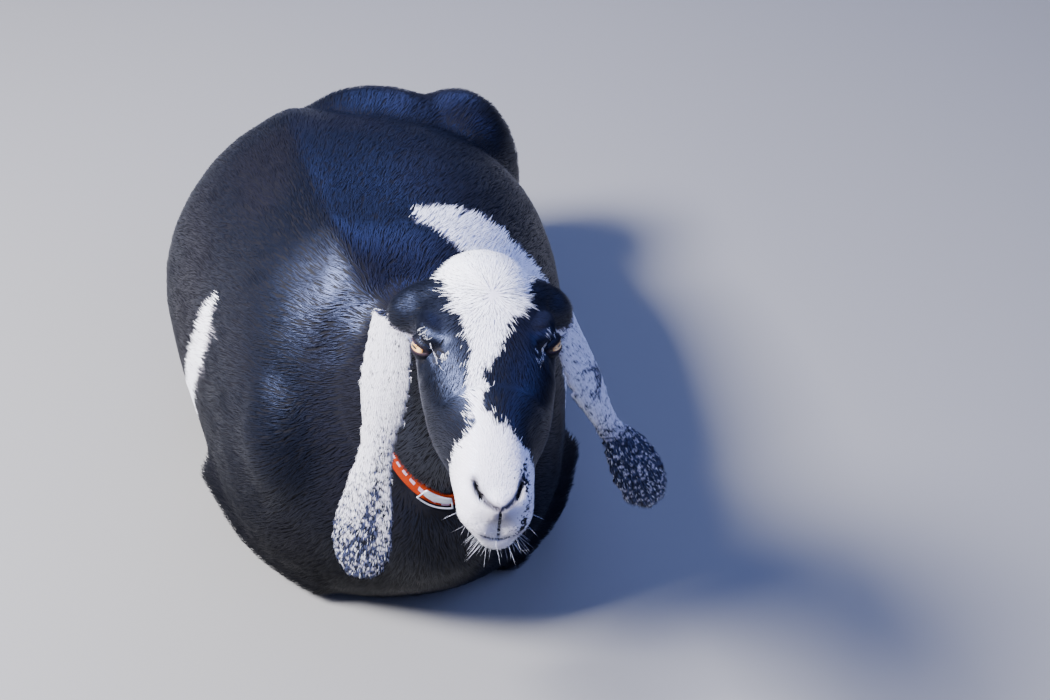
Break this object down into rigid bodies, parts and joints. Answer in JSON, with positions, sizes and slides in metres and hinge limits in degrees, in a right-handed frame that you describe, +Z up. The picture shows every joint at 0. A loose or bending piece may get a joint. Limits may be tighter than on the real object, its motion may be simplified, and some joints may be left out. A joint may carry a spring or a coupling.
{
  "type": "lying goat",
  "caption": "Still life-size model of a hornless long-eared Nubian doe lying on her chest with folded legs, raised head and a strap collar.",
  "frame": {"origin": "centre of the footprint's bounding box, on the floor", "axes": "the doe faces -Y, her left side is +X and +Z is up; +Y runs back along the body"},
  "size_m": [0.5474, 1.082, 0.5913],
  "materials": {
    "coat": "short glossy black hair with white markings",
    "ear_coat": "short white hair flecked with black",
    "eye": "wet amber eye with a level slit pupil",
    "hoof": "dark ridged horn",
    "collar_webbing": "woven orange nylon with a row of pale stitches",
    "collar_plate": "plain brushed plate"
  },
  "bodies": {
    "root": {"head": "coat", "neck": "coat", "trunk": "coat", "tail": "coat", "foreleg_left": "coat", "foreleg_right": "coat", "hindleg_left": "coat", "hindleg_right": "coat", "ear_left": "ear_coat", "ear_right": "ear_coat", "eye_left": "eye", "eye_right": "eye", "forehoof_left_outer": "hoof", "forehoof_left_inner": "hoof", "forehoof_right_outer": "hoof", "forehoof_right_inner": "hoof", "hindhoof_left_outer": "hoof", "hindhoof_left_inner": "hoof", "hindhoof_right_outer": "hoof", "hindhoof_right_inner": "hoof", "collar": "collar_webbing", "collar_plate": "collar_plate"}
  },
  "joints": []
}
